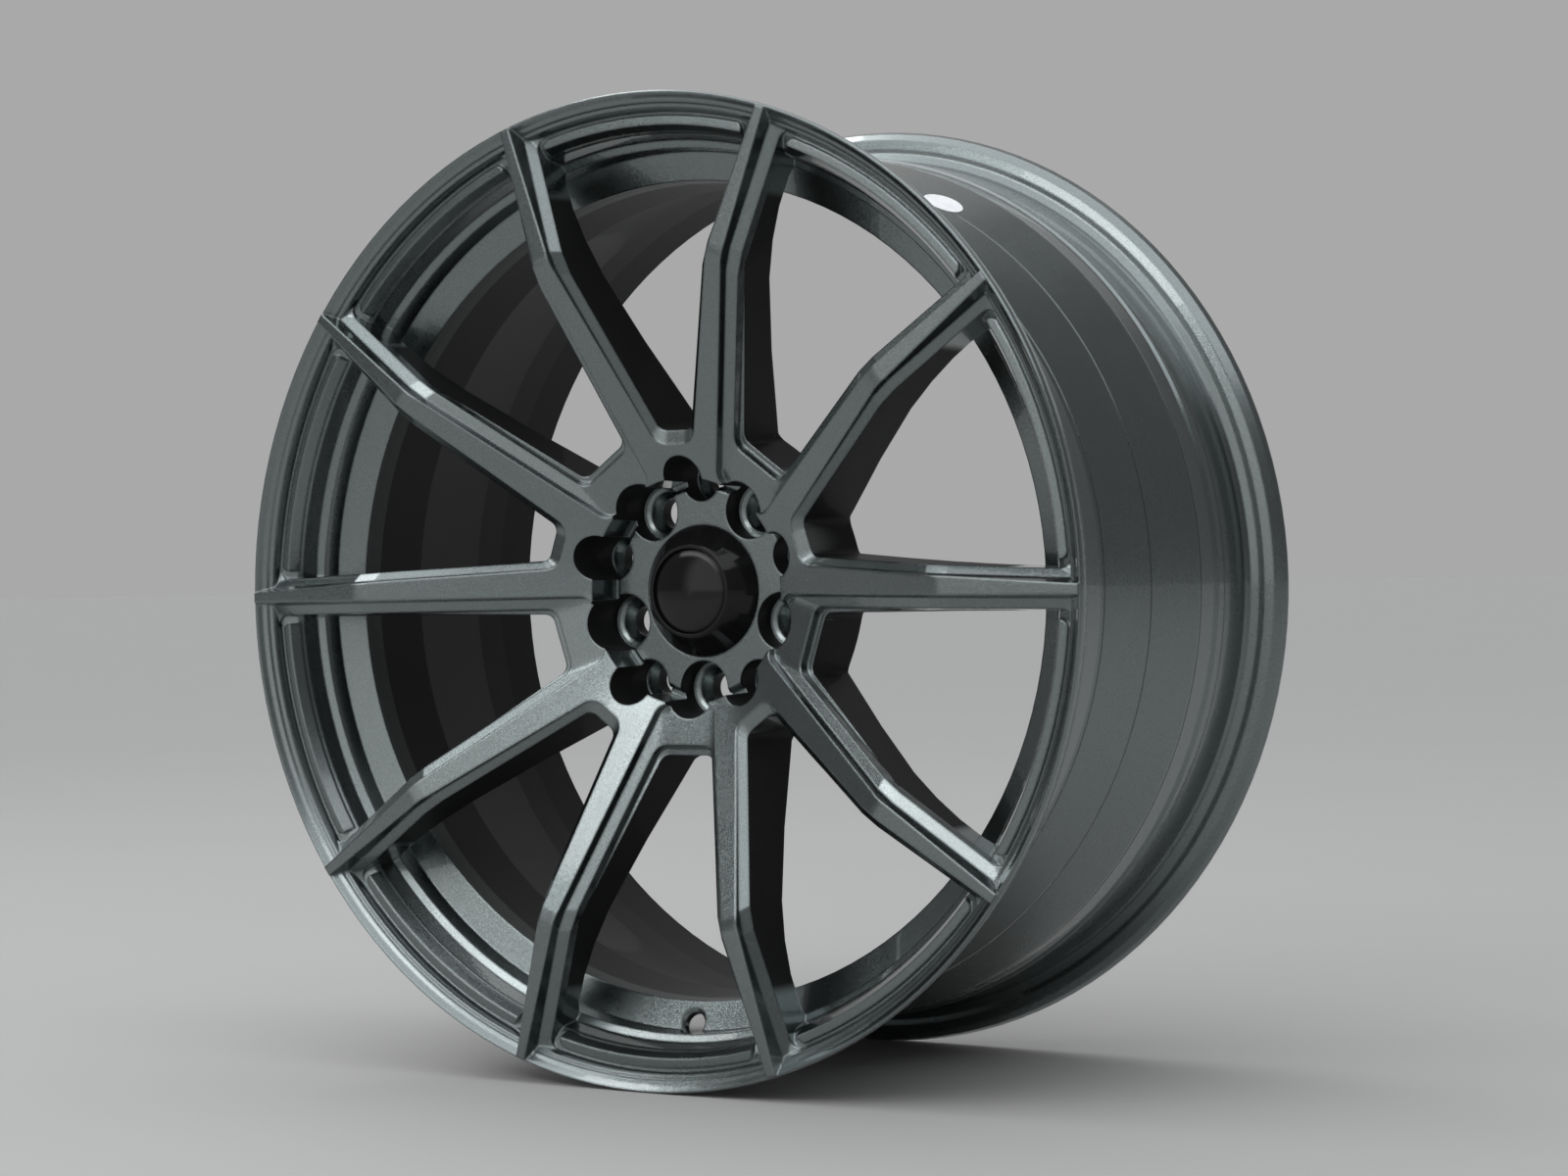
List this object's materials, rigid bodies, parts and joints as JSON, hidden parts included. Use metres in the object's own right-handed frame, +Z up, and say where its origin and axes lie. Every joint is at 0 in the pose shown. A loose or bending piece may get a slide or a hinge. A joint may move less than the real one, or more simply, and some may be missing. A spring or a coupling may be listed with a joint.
{
  "type": "alloy wheel",
  "caption": "Cast alloy car wheel with a drop-centre rim, stepped straight spokes, lug holes on two circles, a bare domed centre cap and a paper sticker in the barrel.",
  "frame": {"origin": "centre of the hub mounting face, where both lug circles and the wheel axis meet it", "axes": "+Y along the wheel axis from the spoke face towards the vehicle, +Z up through the spoke pair as in the picture, +X to the right seen from the spoke face"},
  "size_m": [0.497, 0.2358, 0.4969],
  "materials": {
    "gunmetal_paint": "metallic gunmetal paint under gloss clear coat",
    "cap_plastic": "gloss black",
    "badge_plastic": "gloss black dome, left bare",
    "sticker_paper": "white paper label, left bare"
  },
  "bodies": {
    "root": {"wheel_casting": "gunmetal_paint", "centre_cap": "cap_plastic", "cap_badge": "badge_plastic", "sticker": "sticker_paper"}
  },
  "joints": []
}
